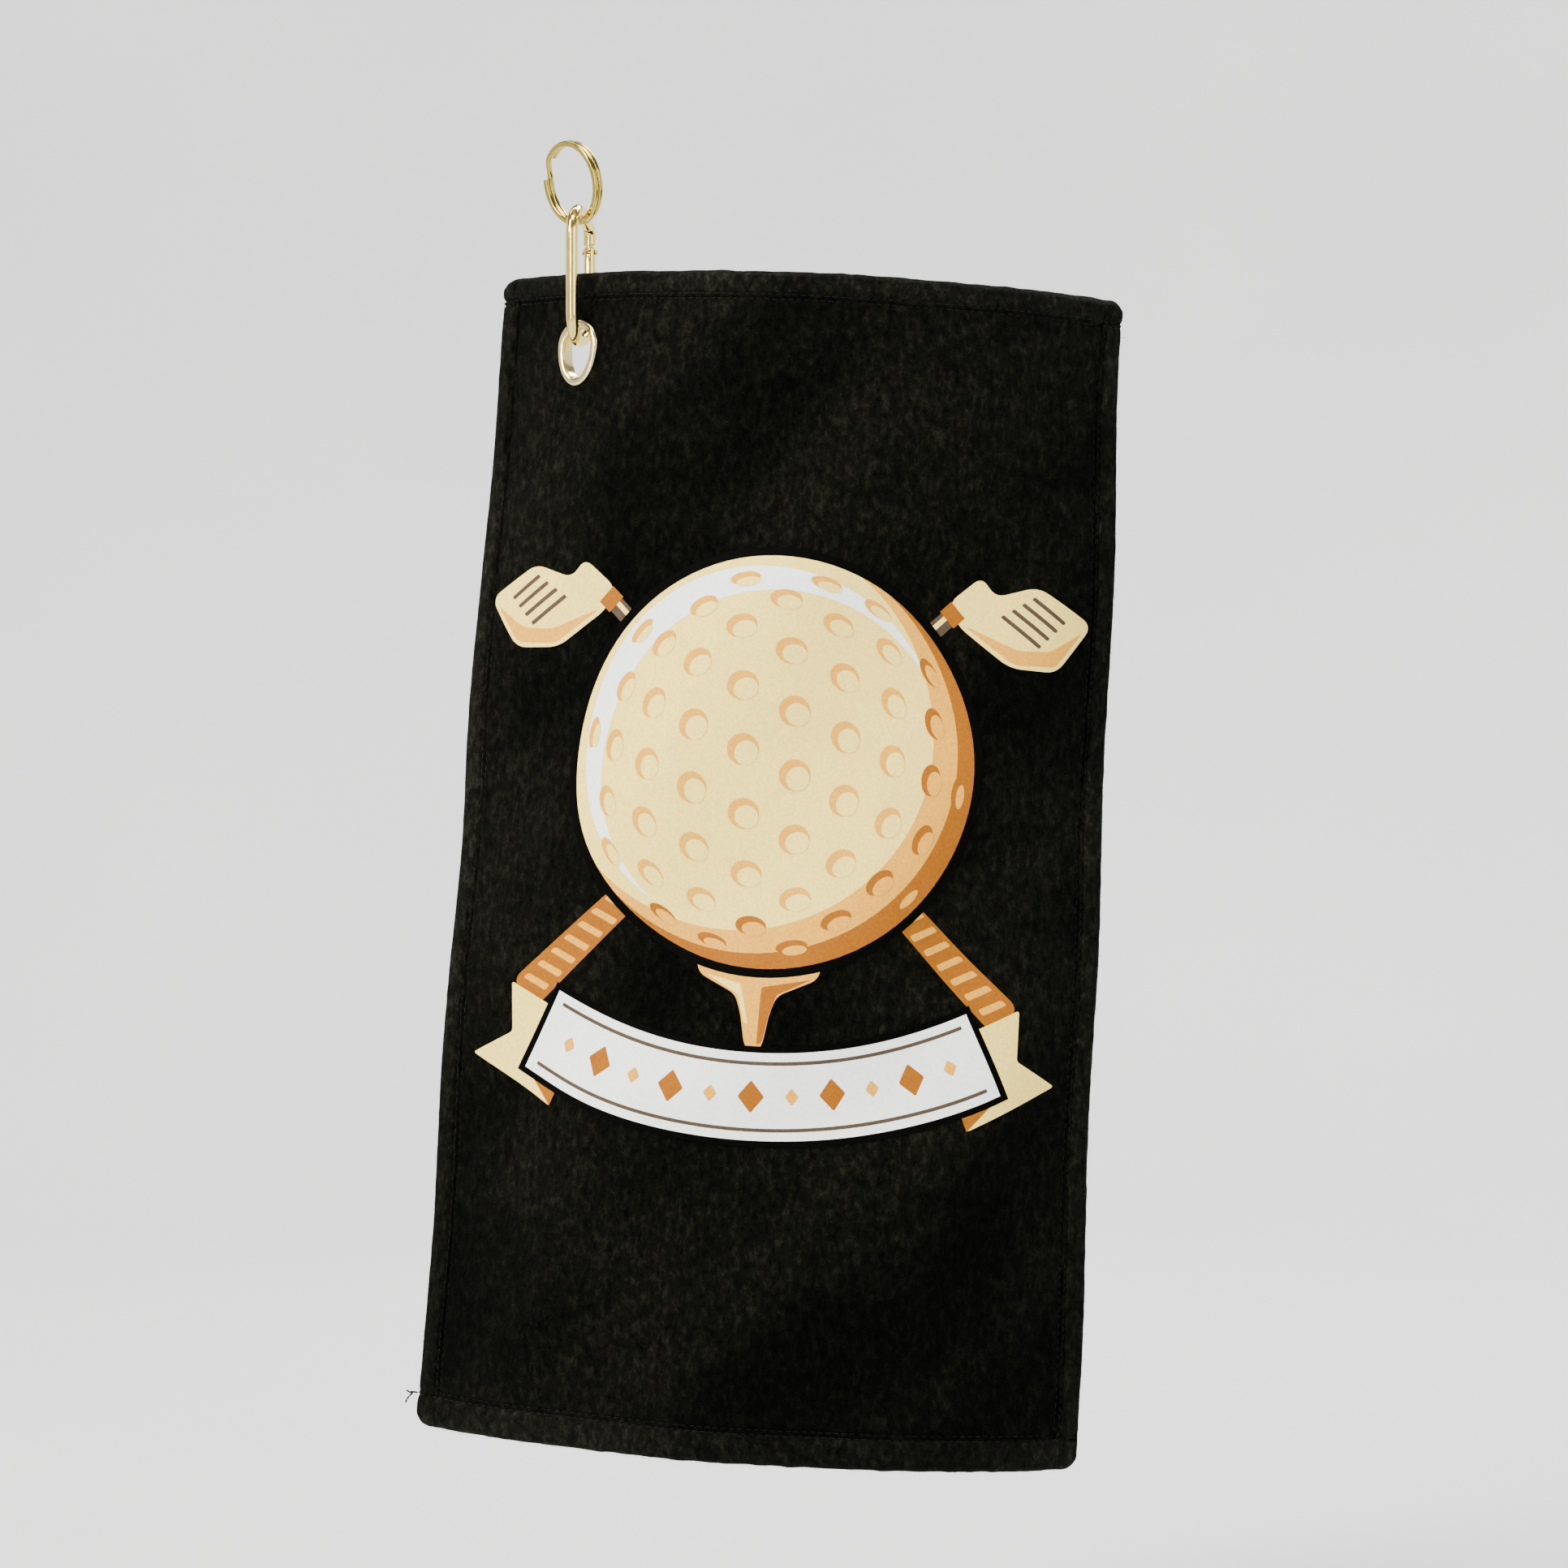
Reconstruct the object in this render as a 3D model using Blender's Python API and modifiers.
"""Golf towel: a hemmed velour towel that hangs by an oval brass eyelet on a snap clip and a split ring.

Everything is in metres with +Z up. The origin is where something outside holds the split ring:
on the ring's inner face, at its highest point. The towel's face looks along -Y.
"""

import bmesh
import bpy
from math import cos, hypot, pi, radians, sin, tan
from mathutils import Matrix, Vector

MM = 0.001
GAP = 0.3 * MM  # air between pieces that rest on each other
RUN = 0.25 * MM  # radial play of a pin in its hole
THROUGH = 1.0 * MM  # how far a cutter runs past the face that it cuts, or a joined end runs in
WELD = 0.001 * MM  # points closer than this are made one
DOME_STEPS = 4  # straight runs in a dome's quarter circle
TURNED_SIDES = 20  # sides of a small turned piece

# ---- towel, measured flat ----
TOWEL_WIDTH = 279 * MM  # 11 inches
TOWEL_LENGTH = 457 * MM  # 18 inches
CLOTH = 2.4 * MM  # thickness of one layer of velour
HEM_CLOTH = 2.0 * MM  # the turned-back layer, pressed flat by its stitching
TOP_HEM = 11.5 * MM
BOTTOM_HEM = 14.5 * MM
SIDE_HEM = 12.5 * MM
CORNER_RADIUS = 6 * MM
STITCH_INSET = 1.6 * MM  # stitch line to the hem's inner edge
THREAD_RADIUS = 0.35 * MM
CELL = 17 * MM  # about the size of the mesh cells that carry the wrap's curve

# ---- how the towel hangs: wrapped on an upright cone, and leaning ----
WRAP_RADIUS_TOP = 166 * MM
WRAP_RADIUS_BOTTOM = 231 * MM
WRAP_CENTRE = 21 * MM  # the wrap's foremost line, to the right of the towel's centre line
LEAN = radians(3.0)  # the bottom hangs to the left of the top

# ---- eyelet: its hole is a half circle above a longer half ellipse ----
EYELET_FROM_LEFT = 48 * MM  # towel's left edge to the centre of the hole's half circle
EYELET_FROM_TOP = 28.7 * MM  # towel's top edge to the same point
HOLE_WIDTH = 13.4 * MM
HOLE_HEIGHT = 19.6 * MM
FLANGE_WIDTH = 3.2 * MM
FLANGE_HEIGHT = 1.2 * MM
BARREL_WALL = 0.45 * MM
WASHER = 0.6 * MM  # thickness
LIP_WIDTH = 1.6 * MM  # the barrel's end, rolled out over the washer
LIP = 0.45 * MM  # thickness
EYELET_SIDES = 36

# ---- split ring: two turns of flat wire ----
RING_OUTER = 33 * MM
RING_WIRE_RADIAL = 2.2 * MM
RING_WIRE_AXIAL = 1.8 * MM
RING_WIRE_CHAMFER = 0.4 * MM
RING_JOG = radians(34)  # length of the step from the first turn to the second
RING_JOG_AT = radians(150)  # where that step lies, from the ring's right side upwards
RING_YAW = radians(-50)  # the ring's plane is turned away from the towel's face
RING_TILT = radians(13)  # and its lower side stands back
RING_STEP = radians(9)

# ---- snap clip: a round rod bent to a D, closed by a gate ----
CLIP_LENGTH = 56 * MM
CLIP_WIDTH = 30 * MM
BAR = 4.8 * MM  # rod diameter
SPINE_BEND = 10.5 * MM  # centreline radius of the two bends beside the spine
SHOULDER_BEND = 5.0 * MM  # centreline radius of the two bends beside the gate
SHOULDER_SLANT = radians(22)
ROD_STUB = 3.4 * MM  # straight rod between a shoulder bend and the rod's end
BEND_STEP = radians(10)
ROD_SIDES_RESOLUTION = 4  # a curve's bevel_resolution: twelve sides
CLIP_TO_CLOTH = radians(114.9)  # from the cloth's way right, at the eyelet, to the way from spine to gate
RING_PLAY = 1.0 * MM  # ring's inner face to the crown of the clip's upper bend
EYELET_PLAY = 2.6 * MM  # top of the eyelet's hole to the floor of the clip's lower bend
EYELET_SHIFT = 1.0 * MM  # the rod lies this far to the left of the hole's middle

# ---- gate and its small parts ----
GATE = 4.6 * MM  # diameter
GATE_SIDES = 24
GATE_END_BEVEL = 0.8 * MM
GATE_TAIL = 1.7 * MM  # pivot to the gate's lower end
GATE_END_PLAY = 0.4 * MM  # gate's free end to the rod's upper end
TONGUE = 1.5 * MM  # thickness of the rod's two flattened ends
PIVOT_EYE = 2.0 * MM  # radius of the lower tongue round the pivot
SLOT_END_PLAY = 0.4 * MM  # a tongue's tip to the bottom of its slot
RIVET_RADIUS = 0.8 * MM
RIVET_HEAD_RADIUS = 1.4 * MM
RIVET_HEAD = 0.6 * MM
LATCH_PIN_RADIUS = 0.6 * MM
LATCH_HEAD_RADIUS = 1.1 * MM
LATCH_FROM_END = 2.1 * MM  # latch pin to the gate's free end
NOSE_WIDTH = 3.4 * MM
NOSE_HOOK = 0.9 * MM  # metal left below the nose's notch
SPRING_RADIUS = 0.85 * MM  # to the wire's centre
SPRING_WIRE_RADIUS = 0.16 * MM
SPRING_TURNS = 6
SPRING_STEPS = 10  # straight runs in one turn
PLUNGER_RADIUS = 1.0 * MM
PLUNGER_DOME = 0.4 * MM
BORE_SHARE = 0.53  # of the solid length between the gate's slots
PLUNGER_SHARE = 0.31  # of the bore's length

# ---- sizes that follow from those above ----
RING_INNER_RADIUS = RING_OUTER / 2 - RING_WIRE_RADIAL
RING_TURNS_APART = RING_WIRE_AXIAL + GAP  # one turn's middle to the other's
CLIP_HALF = (CLIP_LENGTH - BAR) / 2  # the rod's centreline at a crown, from the clip's middle
CLIP_INSIDE_HALF = CLIP_HALF - BAR / 2
CLIP_BACK = CLIP_WIDTH - BAR  # the spine's centreline to the gate's
SPINE_CORNER = CLIP_HALF + SPINE_BEND * (tan((pi / 2 + SHOULDER_SLANT) / 2) - 1)
SHOULDER_CORNER = SPINE_CORNER - CLIP_BACK * tan(SHOULDER_SLANT)
ROD_END = SHOULDER_CORNER - SHOULDER_BEND * tan((pi / 2 - SHOULDER_SLANT) / 2) - ROD_STUB
PIVOT_BELOW = ROD_END - hypot(GATE_TAIL, GATE / 2) - GAP  # pivot below the clip's middle
GATE_REACH = PIVOT_BELOW + ROD_END - GATE_END_PLAY  # pivot to the gate's free end
LATCH_REACH = GATE_REACH - LATCH_FROM_END
NOTCH = LATCH_PIN_RADIUS + GAP  # half the height of the nose's notch
NOSE_TIP = LATCH_REACH - PIVOT_BELOW - NOTCH - NOSE_HOOK  # above the clip's middle
SLOT = TONGUE + 2 * GAP
LOWER_SLOT_TOP = PIVOT_EYE + SLOT_END_PLAY  # above the pivot, as the next two
UPPER_SLOT_BOTTOM = NOSE_TIP + PIVOT_BELOW - SLOT_END_PLAY
BORE_TOP = LOWER_SLOT_TOP + BORE_SHARE * (UPPER_SLOT_BOTTOM - LOWER_SLOT_TOP)
BORE_RADIUS = PLUNGER_RADIUS + RUN
PLUNGER_LOW = LOWER_SLOT_TOP + GAP
PLUNGER_HIGH = PLUNGER_LOW + PLUNGER_SHARE * (BORE_TOP - LOWER_SLOT_TOP)
SPRING_LOW = PLUNGER_HIGH + GAP + SPRING_WIRE_RADIUS
SPRING_HIGH = BORE_TOP - GAP - SPRING_WIRE_RADIUS
HANG_AT = -CLIP_INSIDE_HALF + EYELET_PLAY + FLANGE_WIDTH / 2  # height of the towel's axis on the clip
FLANGE_BACK = -GAP
EYELET_SAG = (HOLE_WIDTH / 2 + FLANGE_WIDTH) ** 2 / (2 * WRAP_RADIUS_TOP)  # the cloth curves away
WASHER_FRONT = CLOTH + EYELET_SAG + GAP
WASHER_BACK = WASHER_FRONT + WASHER
LIP_FRONT = WASHER_BACK + GAP
LIP_BACK = LIP_FRONT + LIP
EYELET_WRAP = WRAP_RADIUS_TOP + (WRAP_RADIUS_BOTTOM - WRAP_RADIUS_TOP) * EYELET_FROM_TOP / TOWEL_LENGTH
EYELET_YAW = (EYELET_FROM_LEFT - TOWEL_WIDTH / 2 - WRAP_CENTRE) / EYELET_WRAP
CLIP_YAW = EYELET_YAW + CLIP_TO_CLOTH  # from the row's +X to the way from the spine to the gate


# ---------------------------------------------------------------- scene and materials

def clear_scene():
    for obj in list(bpy.data.objects):
        bpy.data.objects.remove(obj, do_unlink=True)


def new_collection(name):
    made = bpy.data.collections.new(name)
    bpy.context.scene.collection.children.link(made)
    return made


def new_material(name, colour, roughness, metallic):
    made = bpy.data.materials.new(name)
    made.use_nodes = True
    shader = made.node_tree.nodes["Principled BSDF"]
    shader.inputs["Base Color"].default_value = (*colour, 1)
    shader.inputs["Roughness"].default_value = roughness
    shader.inputs["Metallic"].default_value = metallic
    made.diffuse_color = (*colour, 1)
    return made


clear_scene()
PARTS = new_collection("golf_towel")
CUTTERS = new_collection("golf_towel_cutters")
FINISH = {
    "velour": new_material("velour", (0.018, 0.017, 0.013), 0.95, 0.0),
    "hem": new_material("hem_velour", (0.022, 0.021, 0.016), 0.95, 0.0),
    "thread": new_material("thread", (0.012, 0.012, 0.010), 0.7, 0.0),
    "eyelet": new_material("champagne_brass", (0.72, 0.64, 0.47), 0.22, 1.0),
    "clip": new_material("polished_brass", (0.78, 0.62, 0.27), 0.15, 1.0),
    "gate": new_material("gate_brass", (0.76, 0.60, 0.27), 0.2, 1.0),
    "ring": new_material("ring_brass", (0.74, 0.60, 0.24), 0.15, 1.0),
    "pin": new_material("pin_brass", (0.66, 0.52, 0.24), 0.25, 1.0),
    "steel": new_material("spring_steel", (0.55, 0.56, 0.57), 0.3, 1.0),
}


# ---------------------------------------------------------------- helpers

def new_empty(name, location, rotation=(0, 0, 0), parent=None):
    """An empty that stands for a joint's axis or a body's frame."""
    made = bpy.data.objects.new(name, None)
    made.empty_display_size = 10 * MM
    made.location = location
    made.rotation_euler = rotation
    made.parent = parent
    PARTS.objects.link(made)
    return made


def finish_part(obj, name, finish, parent, smooth=None):
    """Names an object, gives it its material and its parent, and files it with the parts."""
    obj.name = name
    obj.data.name = name
    obj.data.materials.clear()
    obj.data.materials.append(FINISH[finish])
    obj.parent = parent
    refile(obj, PARTS)
    if smooth is not None:
        obj.data.shade_smooth()
        obj.data.set_sharp_from_angle(angle=smooth)
    return obj


def finish_cutter(obj, name, parent):
    obj.name = name
    obj.parent = parent
    obj.hide_render = True
    obj.display_type = "WIRE"
    refile(obj, CUTTERS)
    return obj


def refile(obj, collection):
    for old in list(obj.users_collection):
        old.objects.unlink(obj)
    collection.objects.link(obj)


def object_from_bmesh(shape, name):
    bmesh.ops.recalc_face_normals(shape, faces=shape.faces)
    data = bpy.data.meshes.new(name)
    shape.to_mesh(data)
    shape.free()
    made = bpy.data.objects.new(name, data)
    CUTTERS.objects.link(made)
    return made


def mesh_from_curve(curve_object):
    """A mesh object in the curve's place, with the curve's loose caps welded on."""
    bpy.context.view_layer.update()
    evaluated = curve_object.evaluated_get(bpy.context.evaluated_depsgraph_get())
    data = bpy.data.meshes.new_from_object(evaluated)
    shape = bmesh.new()
    shape.from_mesh(data)
    bmesh.ops.remove_doubles(shape, verts=shape.verts, dist=WELD)
    bmesh.ops.recalc_face_normals(shape, faces=shape.faces)
    shape.to_mesh(data)
    shape.free()
    made = bpy.data.objects.new(curve_object.name, data)
    made.matrix_world = curve_object.matrix_world
    CUTTERS.objects.link(made)
    bpy.data.objects.remove(curve_object, do_unlink=True)
    return made


def rod(points, radius, resolution, closed=False):
    """A round rod or wire along straight runs between points, as a mesh."""
    curve = bpy.data.curves.new("rod", "CURVE")
    curve.dimensions = "3D"
    curve.bevel_depth = radius
    curve.bevel_resolution = resolution
    curve.use_fill_caps = not closed
    spline = curve.splines.new("POLY")
    spline.points.add(len(points) - 1)
    for point, place in zip(spline.points, points):
        point.co = (*place, 1)
    spline.use_cyclic_u = closed
    made = bpy.data.objects.new("rod", curve)
    CUTTERS.objects.link(made)
    return mesh_from_curve(made)


def plate(outlines, thickness):
    """A flat plate in the local XZ plane, from closed outlines of (x, z); an inner one is a hole."""
    curve = bpy.data.curves.new("plate", "CURVE")
    curve.dimensions = "2D"
    curve.fill_mode = "BOTH"
    curve.extrude = thickness / 2
    for outline in outlines:
        spline = curve.splines.new("POLY")
        spline.points.add(len(outline) - 1)
        for point, (x, z) in zip(spline.points, outline):
            point.co = (x, z, 0, 1)
        spline.use_cyclic_u = True
    made = bpy.data.objects.new("plate", curve)
    CUTTERS.objects.link(made)
    flat = mesh_from_curve(made)
    flat.data.transform(Matrix.Rotation(pi / 2, 4, "X"))
    return flat


def cylinder(radius, low, high, axis="Z", sides=24, bevel=0.0):
    """A round bar along a local axis, between two places on it."""
    bpy.ops.mesh.primitive_cylinder_add(vertices=sides, radius=radius, depth=high - low)
    made = bpy.context.object
    made.data.transform(Matrix.Translation((0, 0, (high + low) / 2)))
    if axis == "Y":
        made.data.transform(Matrix.Rotation(pi / 2, 4, "X"))
    if bevel:
        add_bevel(made, bevel)
    return made


def box(width, depth, low, high):
    """A box centred on the local Z axis, between two heights."""
    bpy.ops.mesh.primitive_cube_add(size=1)
    made = bpy.context.object
    size = Matrix.Diagonal((width, depth, high - low, 1))
    made.data.transform(Matrix.Translation((0, 0, (low + high) / 2)) @ size)
    return made


def add_bevel(obj, width):
    modifier = obj.modifiers.new("rounded_ends", "BEVEL")
    modifier.width = width
    modifier.segments = 2
    modifier.limit_method = "ANGLE"
    modifier.angle_limit = radians(60)


def add_boolean(obj, other, operation):
    modifier = obj.modifiers.new(other.name, "BOOLEAN")
    modifier.object = other
    modifier.operation = operation
    modifier.solver = "EXACT"


def quarter_turn():
    """Angles of a dome's profile, from its top to its rim."""
    return [pi / 2 * k / DOME_STEPS for k in range(DOME_STEPS + 1)]


def turned(profile):
    """A solid of revolution about the local Z axis, from a profile of (radius, z), top to bottom."""
    shape = bmesh.new()
    corners = [shape.verts.new((radius, 0, z)) for radius, z in profile]
    for one, other in zip(corners, corners[1:]):
        shape.edges.new((one, other))
    data = bpy.data.meshes.new("turned")
    shape.to_mesh(data)
    shape.free()
    made = bpy.data.objects.new("turned", data)
    CUTTERS.objects.link(made)
    modifier = made.modifiers.new("turn", "SCREW")
    modifier.steps = TURNED_SIDES
    modifier.render_steps = TURNED_SIDES
    modifier.use_merge_vertices = True
    modifier.merge_threshold = WELD
    modifier.use_normal_calculate = False
    return made


def filleted(corners, radii):
    """Points of a path through corners, each of which is rounded with an arc of its radius."""
    path = [corners[0]]
    for before, corner, after, radius in zip(corners, corners[1:], corners[2:], radii):
        back = (before - corner).normalized()
        ahead = (after - corner).normalized()
        half = back.angle(ahead) / 2
        centre = corner + (back + ahead).normalized() * radius / sin(half)
        start = corner + back * radius / tan(half) - centre
        turn = pi - 2 * half
        normal = start.cross(-back).normalized()
        pieces = max(2, round(turn / BEND_STEP))
        path += [centre + Matrix.Rotation(turn * k / pieces, 3, normal) @ start for k in range(pieces + 1)]
    path.append(corners[-1])
    return path


def circle(radius, centre_x, centre_z, sides=20):
    angles = [2 * pi * k / sides for k in range(sides)]
    return [(centre_x + radius * cos(a), centre_z + radius * sin(a)) for a in angles]


def swept_loop(sections, closed):
    """A solid whose sections, each a ring of points, are joined one to the next."""
    shape = bmesh.new()
    rings = [[shape.verts.new(point) for point in section] for section in sections]
    pairs = list(zip(rings, rings[1:]))
    if closed:
        pairs.append((rings[-1], rings[0]))
    else:
        shape.faces.new(rings[0])
        shape.faces.new(rings[-1])
    for one, other in pairs:
        for k in range(len(one)):
            following = (k + 1) % len(one)
            shape.faces.new((one[k], one[following], other[following], other[k]))
    return object_from_bmesh(shape, "swept")


# ---------------------------------------------------------------- split ring

def ring_axial(angle):
    """The wire's place along the ring's axis, after it has turned through angle."""
    from_jog = (angle - 2 * pi) / RING_JOG
    blend = min(max(from_jog + 0.5, 0), 1)
    return RING_TURNS_APART * (blend * blend * (3 - 2 * blend) - 0.5)


def make_split_ring(parent):
    """Two turns of wire: each end stops just short of the step between the turns."""
    half_radial = RING_WIRE_RADIAL / 2
    half_axial = RING_WIRE_AXIAL / 2
    inner = half_radial - RING_WIRE_CHAMFER
    outer = half_axial - RING_WIRE_CHAMFER
    section = [
        (half_radial, -outer), (half_radial, outer), (inner, half_axial), (-inner, half_axial),
        (-half_radial, outer), (-half_radial, -outer), (-inner, -half_axial), (inner, -half_axial),
    ]
    middle = RING_INNER_RADIUS + half_radial
    end_play = RING_JOG / 2 + GAP / RING_INNER_RADIUS
    count = round((4 * pi - 2 * end_play) / RING_STEP)
    sections = []
    for k in range(count + 1):
        turned_by = end_play + (4 * pi - 2 * end_play) * k / count
        around = turned_by + RING_JOG_AT
        axial = ring_axial(turned_by)
        sections.append([
            Vector((
                (middle + radial) * cos(around),
                axial + along,
                (middle + radial) * sin(around) - RING_INNER_RADIUS,
            ))
            for radial, along in section
        ])
    made = swept_loop(sections, closed=False)
    return finish_part(made, "split_ring", "ring", parent, smooth=radians(40))


# ---------------------------------------------------------------- snap clip

def make_clip_body(parent):
    """The bent rod with its two flattened ends: the pivot tongue below and the hooked nose above."""
    corners = [
        Vector((CLIP_BACK, 0, -ROD_END)),
        Vector((CLIP_BACK, 0, -SHOULDER_CORNER)),
        Vector((0, 0, -SPINE_CORNER)),
        Vector((0, 0, SPINE_CORNER)),
        Vector((CLIP_BACK, 0, SHOULDER_CORNER)),
        Vector((CLIP_BACK, 0, ROD_END)),
    ]
    radii = [SHOULDER_BEND, SPINE_BEND, SPINE_BEND, SHOULDER_BEND]
    body = rod(filleted(corners, radii), BAR / 2, ROD_SIDES_RESOLUTION)

    eye = [
        (CLIP_BACK + PIVOT_EYE * cos(angle), PIVOT_EYE * sin(angle) - PIVOT_BELOW)
        for angle in [pi * k / 10 for k in range(11)]
    ]
    root = -ROD_END - THROUGH
    tongue_outline = [*eye, (CLIP_BACK - PIVOT_EYE, root), (CLIP_BACK + PIVOT_EYE, root)]
    rivet_hole = circle(RIVET_RADIUS + RUN, CLIP_BACK, -PIVOT_BELOW)
    tongue = finish_cutter(plate([tongue_outline, rivet_hole], TONGUE), "pivot_tongue", parent)

    left = CLIP_BACK - NOSE_WIDTH / 2
    right = CLIP_BACK + NOSE_WIDTH / 2
    latch = LATCH_REACH - PIVOT_BELOW
    notch_end = [
        (CLIP_BACK + NOTCH * sin(angle), latch + NOTCH * cos(angle))
        for angle in [pi * k / 8 for k in range(9)]
    ]
    nose_outline = [
        (left, ROD_END + THROUGH), (left, latch + NOTCH), *notch_end, (left, latch - NOTCH),
        (left, NOSE_TIP + NOSE_HOOK / 3), (left + NOSE_HOOK / 3, NOSE_TIP),
        (right - NOSE_HOOK, NOSE_TIP), (right, NOSE_TIP + NOSE_HOOK), (right, ROD_END + THROUGH),
    ]
    nose = finish_cutter(plate([nose_outline], TONGUE), "nose_tongue", parent)

    add_boolean(body, tongue, "UNION")
    add_boolean(body, nose, "UNION")
    return finish_part(body, "clip_body", "clip", parent, smooth=radians(35))


def make_gate(parent):
    """A round bar, slotted at both ends for the clip's tongues and bored for the spring."""
    gate = cylinder(GATE / 2, -GATE_TAIL, GATE_REACH, sides=GATE_SIDES, bevel=GATE_END_BEVEL)
    wide = GATE + 2 * THROUGH
    bore = cylinder(BORE_RADIUS, 0, BORE_TOP, sides=GATE_SIDES)
    rivet_hole = cylinder(RIVET_RADIUS + RUN, -GATE, GATE, axis="Y")
    latch_hole = cylinder(LATCH_PIN_RADIUS + RUN, -GATE, GATE, axis="Y")
    latch_hole.data.transform(Matrix.Translation((0, 0, LATCH_REACH)))
    cutters = {
        "gate_lower_slot": box(wide, SLOT, -GATE_TAIL - THROUGH, LOWER_SLOT_TOP),
        "gate_upper_slot": box(wide, SLOT, UPPER_SLOT_BOTTOM, GATE_REACH + THROUGH),
        "gate_bore": bore,
        "gate_rivet_hole": rivet_hole,
        "gate_latch_hole": latch_hole,
    }
    for name, cutter in cutters.items():
        add_boolean(gate, finish_cutter(cutter, name, parent), "DIFFERENCE")
    return finish_part(gate, "clip_gate", "gate", parent, smooth=radians(35))


def make_cross_pin(name, radius, head_radius, height, parent):
    """A pin across the gate with a domed head on each side."""
    seat = GATE / 2 + GAP
    top = seat + RIVET_HEAD
    dome = [
        (head_radius * sin(angle), seat + RIVET_HEAD * cos(angle))
        for angle in quarter_turn()
    ]
    upper = [(0, top), *dome[1:], (radius, seat)]
    lower = [(r, -z) for r, z in reversed(upper)]
    pin = turned([*upper, *lower])
    pin.rotation_euler = (pi / 2, 0, 0)
    pin.location = (0, 0, height)
    return finish_part(pin, name, "pin", parent, smooth=radians(35))


def make_spring(parent):
    """A coil in the gate's bore, above the plunger."""
    steps = SPRING_STEPS * SPRING_TURNS
    points = []
    for k in range(steps + 1):
        angle = 2 * pi * k / SPRING_STEPS
        height = SPRING_LOW + (SPRING_HIGH - SPRING_LOW) * k / steps
        points.append((SPRING_RADIUS * cos(angle), SPRING_RADIUS * sin(angle), height))
    coil = rod(points, SPRING_WIRE_RADIUS, 1)
    return finish_part(coil, "gate_spring", "steel", parent, smooth=radians(60))


def make_plunger(parent):
    """The small pin that the spring pushes against the clip's lower tongue."""
    dome = [
        (PLUNGER_RADIUS * cos(angle), PLUNGER_LOW + PLUNGER_DOME * (1 - sin(angle)))
        for angle in quarter_turn()
    ]
    profile = [(0, PLUNGER_HIGH), (PLUNGER_RADIUS, PLUNGER_HIGH), *dome[:-1], (0, PLUNGER_LOW)]
    plunger = turned(profile)
    return finish_part(plunger, "spring_plunger", "steel", parent, smooth=radians(35))


# ---------------------------------------------------------------- towel

def wrap_radius(down):
    return WRAP_RADIUS_TOP + (WRAP_RADIUS_BOTTOM - WRAP_RADIUS_TOP) * down / TOWEL_LENGTH


def on_wrap(across, down, depth):
    """A point of the hanging towel, before it leans.

    across is measured from the towel's left edge, down from its top edge, and depth from its
    face towards the back.
    """
    radius = wrap_radius(down)
    angle = (across - TOWEL_WIDTH / 2 - WRAP_CENTRE) / radius
    return Vector(((radius - depth) * sin(angle), radius - (radius - depth) * cos(angle), -down))


def hung(across, down, depth=0.0):
    """The same point on the leaning towel, measured from the towel's hinge."""
    hinge = on_wrap(EYELET_FROM_LEFT, EYELET_FROM_TOP - HOLE_WIDTH / 2 - FLANGE_WIDTH / 2, CLOTH / 2)
    return Matrix.Rotation(LEAN, 3, "Y") @ (on_wrap(across, down, depth) - hinge)


def eyelet_frame():
    """A frame on the towel's face at the eyelet: X to the right, Y to the back, Z up."""
    step = 1 * MM
    right = hung(EYELET_FROM_LEFT + step, EYELET_FROM_TOP) - hung(EYELET_FROM_LEFT - step, EYELET_FROM_TOP)
    down = hung(EYELET_FROM_LEFT, EYELET_FROM_TOP + step) - hung(EYELET_FROM_LEFT, EYELET_FROM_TOP - step)
    right.normalize()
    back = right.cross(down).normalized()
    up = right.cross(back)
    turn = Matrix((right, back, up)).transposed().to_4x4()
    return Matrix.Translation(hung(EYELET_FROM_LEFT, EYELET_FROM_TOP)) @ turn


def stations(length, near_hem, far_hem):
    """Places of the mesh lines along one side: at the corners' arcs, at the hems, and between."""
    between = length - near_hem - far_hem
    cells = round(between / CELL)
    middle = [near_hem + between * k / cells for k in range(cells + 1)]
    return [0, CORNER_RADIUS, *middle, length - CORNER_RADIUS, length]


def trimmed(across, down):
    """A place on the flat towel; one at a square corner moves in onto the corner's arc."""
    inset = CORNER_RADIUS * (1 - cos(pi / 4))
    on_side = across in (0, TOWEL_WIDTH)
    on_end = down in (0, TOWEL_LENGTH)
    if on_side and on_end:
        across += inset if across == 0 else -inset
        down += inset if down == 0 else -inset
    return across, down


def cloth_layer(columns, rows, depth, thickness):
    """A layer of cloth on the wrap, as a grid through columns and rows made solid to the back."""
    shape = bmesh.new()
    bmesh.ops.create_grid(shape, x_segments=len(columns) - 1, y_segments=len(rows) - 1, size=0.5)
    for vertex in shape.verts:
        column = round((vertex.co.x + 0.5) * (len(columns) - 1))
        row = round((0.5 - vertex.co.y) * (len(rows) - 1))
        across, down = trimmed(columns[column], rows[row])
        vertex.co = hung(across, down, depth)
    data = bpy.data.meshes.new("cloth")
    shape.to_mesh(data)
    shape.free()
    made = bpy.data.objects.new("cloth", data)
    CUTTERS.objects.link(made)
    modifier = made.modifiers.new("thickness", "SOLIDIFY")
    modifier.thickness = thickness
    modifier.offset = -1
    modifier.use_even_offset = True
    return made


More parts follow.
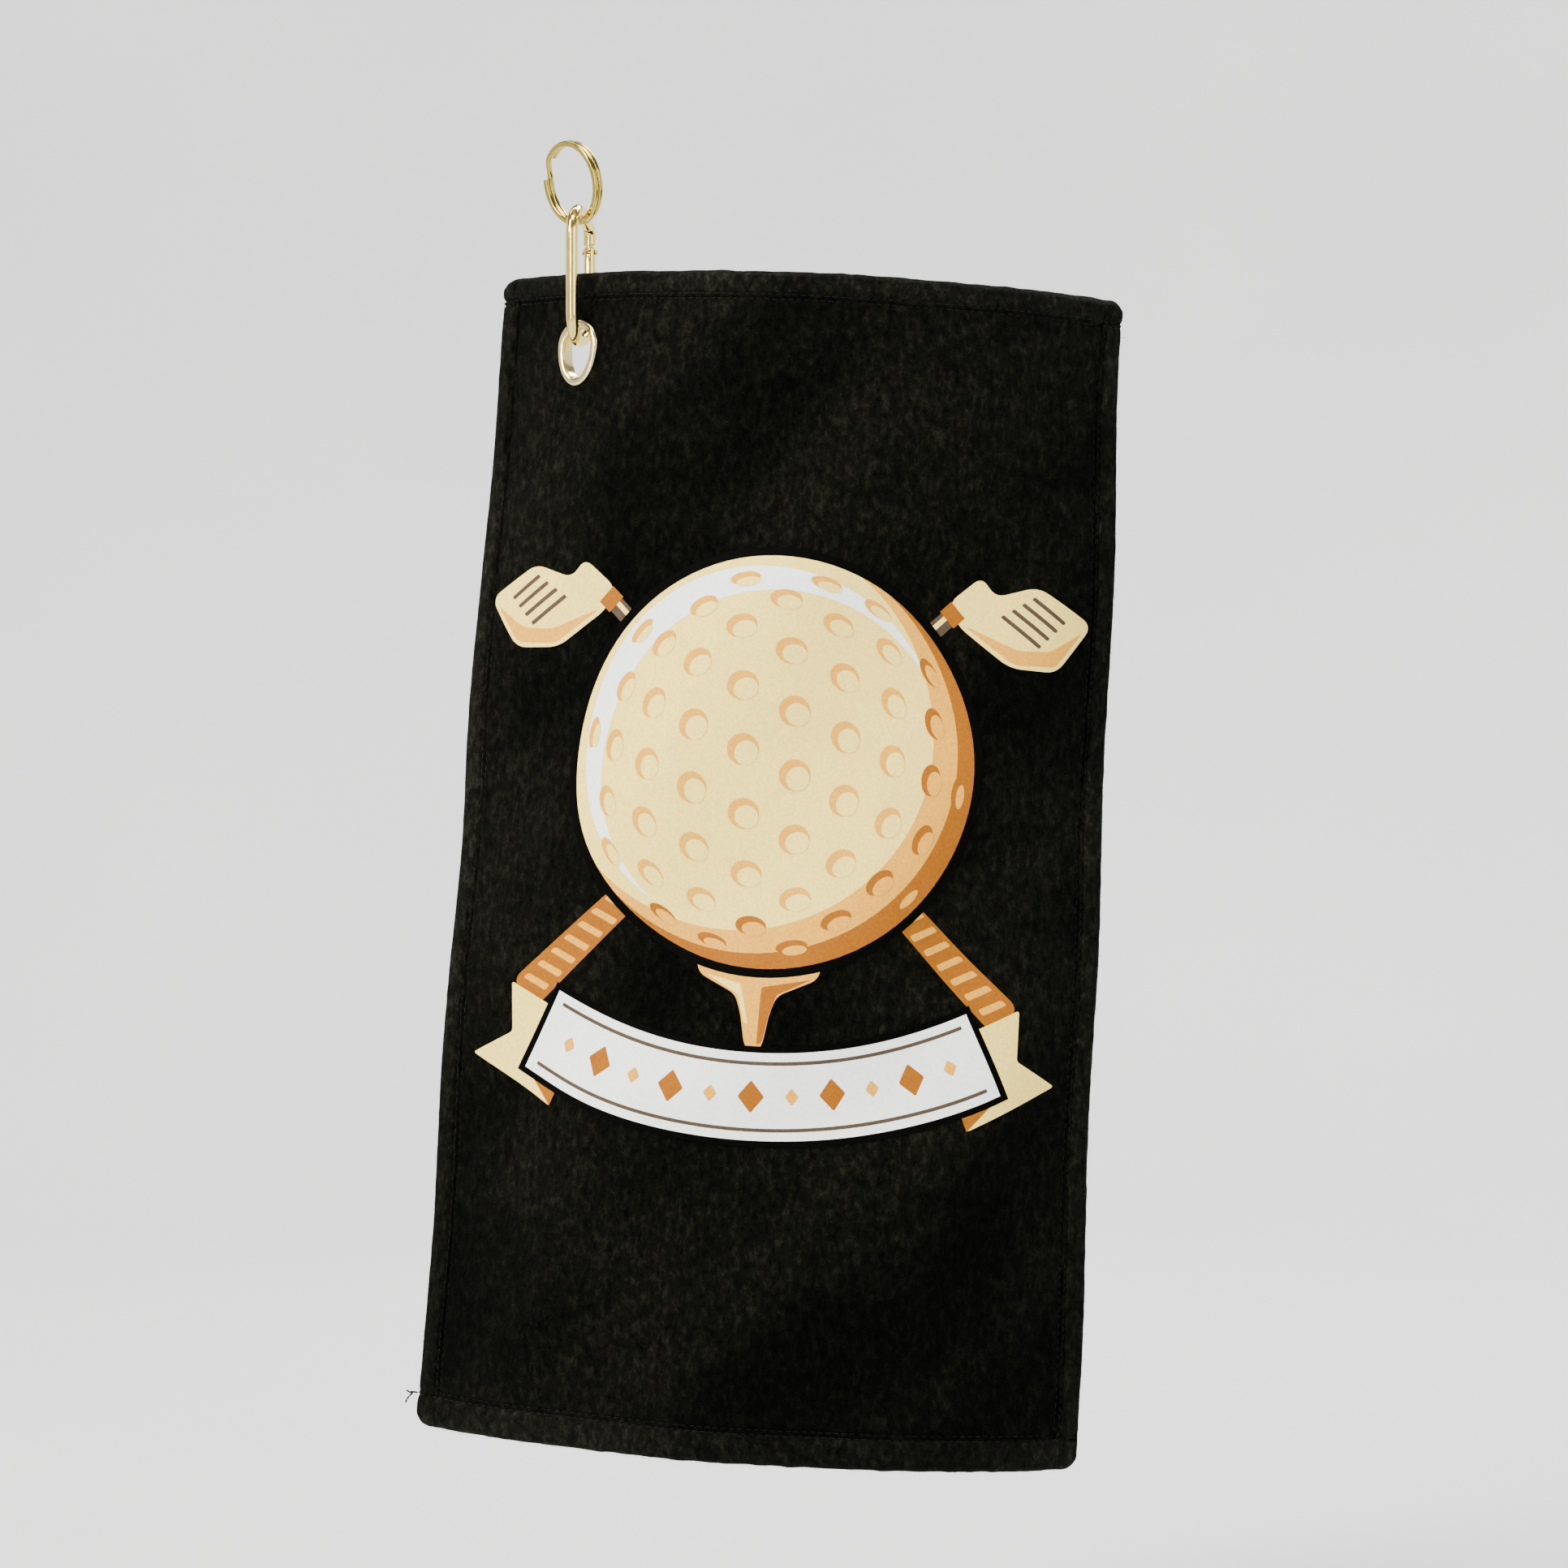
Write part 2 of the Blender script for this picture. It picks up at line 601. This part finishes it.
def eyelet_outline(margin):
    """The eyelet's hole widened by margin: a half circle above a half ellipse, as (x, z)."""
    half_width = HOLE_WIDTH / 2 + margin
    drop = HOLE_HEIGHT - HOLE_WIDTH / 2 + margin
    outline = []
    for k in range(EYELET_SIDES):
        angle = 2 * pi * k / EYELET_SIDES
        reach = half_width if sin(angle) >= 0 else drop
        outline.append((half_width * cos(angle), reach * sin(angle)))
    return outline


def make_towel_panel(columns, rows, parent):
    panel = cloth_layer(columns, rows, 0, CLOTH)
    cutter_depth = 2 * (CLOTH + THROUGH)
    hole = plate([eyelet_outline(BARREL_WALL + GAP)], cutter_depth)
    hole.data.transform(eyelet_frame())
    add_boolean(panel, finish_cutter(hole, "panel_hole", parent), "DIFFERENCE")
    return finish_part(panel, "towel_panel", "velour", parent)


def make_hems(columns, rows, parent):
    """The four turned-back edges, behind the panel; the side ones run between the end ones."""
    depth = CLOTH + GAP
    side_rows = [TOP_HEM + GAP, *rows[3:-3], TOWEL_LENGTH - BOTTOM_HEM - GAP]
    layers = {
        "top_hem": (columns, rows[:3]),
        "bottom_hem": (columns, rows[-3:]),
        "left_hem": (columns[:3], side_rows),
        "right_hem": (columns[-3:], side_rows),
    }
    for name, (across, down) in layers.items():
        finish_part(cloth_layer(across, down, depth, HEM_CLOTH), name, "hem", parent)


def make_stitching(columns, rows, parent):
    """One line of thread along each hem's inner edge, on the towel's face."""
    proud = -(GAP + THREAD_RADIUS)
    top = TOP_HEM - STITCH_INSET
    bottom = TOWEL_LENGTH - BOTTOM_HEM + STITCH_INSET
    left = SIDE_HEM - STITCH_INSET
    right = TOWEL_WIDTH - SIDE_HEM + STITCH_INSET
    clear = 2 * THREAD_RADIUS + GAP
    ends = [STITCH_INSET, *columns[1:-1], TOWEL_WIDTH - STITCH_INSET]
    sides = [top + clear, *rows[2:-2], bottom - clear]
    lines = {
        "top_stitching": [hung(across, top, proud) for across in ends],
        "bottom_stitching": [hung(across, bottom, proud) for across in ends],
        "left_stitching": [hung(left, down, proud) for down in sides],
        "right_stitching": [hung(right, down, proud) for down in sides],
    }
    for name, points in lines.items():
        thread = rod(points, THREAD_RADIUS, 1)
        finish_part(thread, name, "thread", parent, smooth=radians(60))


def eyelet_solid(profile):
    """A solid that follows the eyelet's hole, from a closed profile of (margin, depth)."""
    rings = [eyelet_outline(margin) for margin, depth in profile]
    sections = []
    for k in range(EYELET_SIDES):
        sections.append([
            Vector((ring[k][0], depth, ring[k][1]))
            for ring, (margin, depth) in zip(rings, profile)
        ])
    made = swept_loop(sections, closed=True)
    made.data.transform(eyelet_frame())
    return made


def make_eyelet(parent):
    """The domed front flange with its barrel and rolled lip, and the washer behind the cloth."""
    half = FLANGE_WIDTH / 2
    dome = [
        (half + half * cos(angle), FLANGE_BACK - FLANGE_HEIGHT * sin(angle))
        for angle in [pi * k / 6 for k in range(7)]
    ]
    front = [*dome, (0, LIP_BACK), (LIP_WIDTH, LIP_BACK), (LIP_WIDTH, LIP_FRONT),
             (BARREL_WALL, LIP_FRONT), (BARREL_WALL, FLANGE_BACK)]
    finish_part(eyelet_solid(front), "eyelet_front", "eyelet", parent, smooth=radians(40))
    inside = BARREL_WALL + GAP
    chamfer = WASHER / 3
    back = [
        (inside, WASHER_FRONT), (inside, WASHER_BACK), (FLANGE_WIDTH - chamfer, WASHER_BACK),
        (FLANGE_WIDTH, WASHER_BACK - chamfer), (FLANGE_WIDTH, WASHER_FRONT),
    ]
    finish_part(eyelet_solid(back), "eyelet_washer", "eyelet", parent, smooth=radians(40))


# ---------------------------------------------------------------- assembly

def build():
    ring = new_empty("ring_frame", (0, 0, 0), (RING_TILT, 0, RING_YAW))
    make_split_ring(ring)

    ring_turn = Matrix.Rotation(RING_YAW, 3, "Z") @ Matrix.Rotation(RING_TILT, 3, "X")
    ring_floor = ring_turn @ Vector((0, 0, -2 * RING_INNER_RADIUS))
    clip_turn = Matrix.Rotation(CLIP_YAW, 3, "Z")
    crown = Vector((SPINE_BEND, 0, CLIP_HALF - SPINE_BEND))
    crown_at = ring_floor + Vector((0, 0, RING_PLAY - (SPINE_BEND - BAR / 2)))
    clip = new_empty("clip_frame", crown_at - clip_turn @ crown, (0, 0, CLIP_YAW))
    make_clip_body(clip)

    gate = new_empty("gate_axis", (CLIP_BACK, 0, -PIVOT_BELOW), parent=clip)
    make_gate(gate)
    make_cross_pin("gate_pivot_rivet", RIVET_RADIUS, RIVET_HEAD_RADIUS, 0, gate)
    make_cross_pin("gate_latch_pin", LATCH_PIN_RADIUS, LATCH_HEAD_RADIUS, LATCH_REACH, gate)
    make_plunger(gate)
    make_spring(gate)

    towel_at = clip.location + clip_turn @ Vector((SPINE_BEND, -EYELET_SHIFT, HANG_AT))
    towel = new_empty("towel_axis", towel_at)
    columns = stations(TOWEL_WIDTH, SIDE_HEM, SIDE_HEM)
    rows = stations(TOWEL_LENGTH, TOP_HEM, BOTTOM_HEM)
    make_towel_panel(columns, rows, towel)
    make_hems(columns, rows, towel)
    make_stitching(columns, rows, towel)
    make_eyelet(towel)


build()
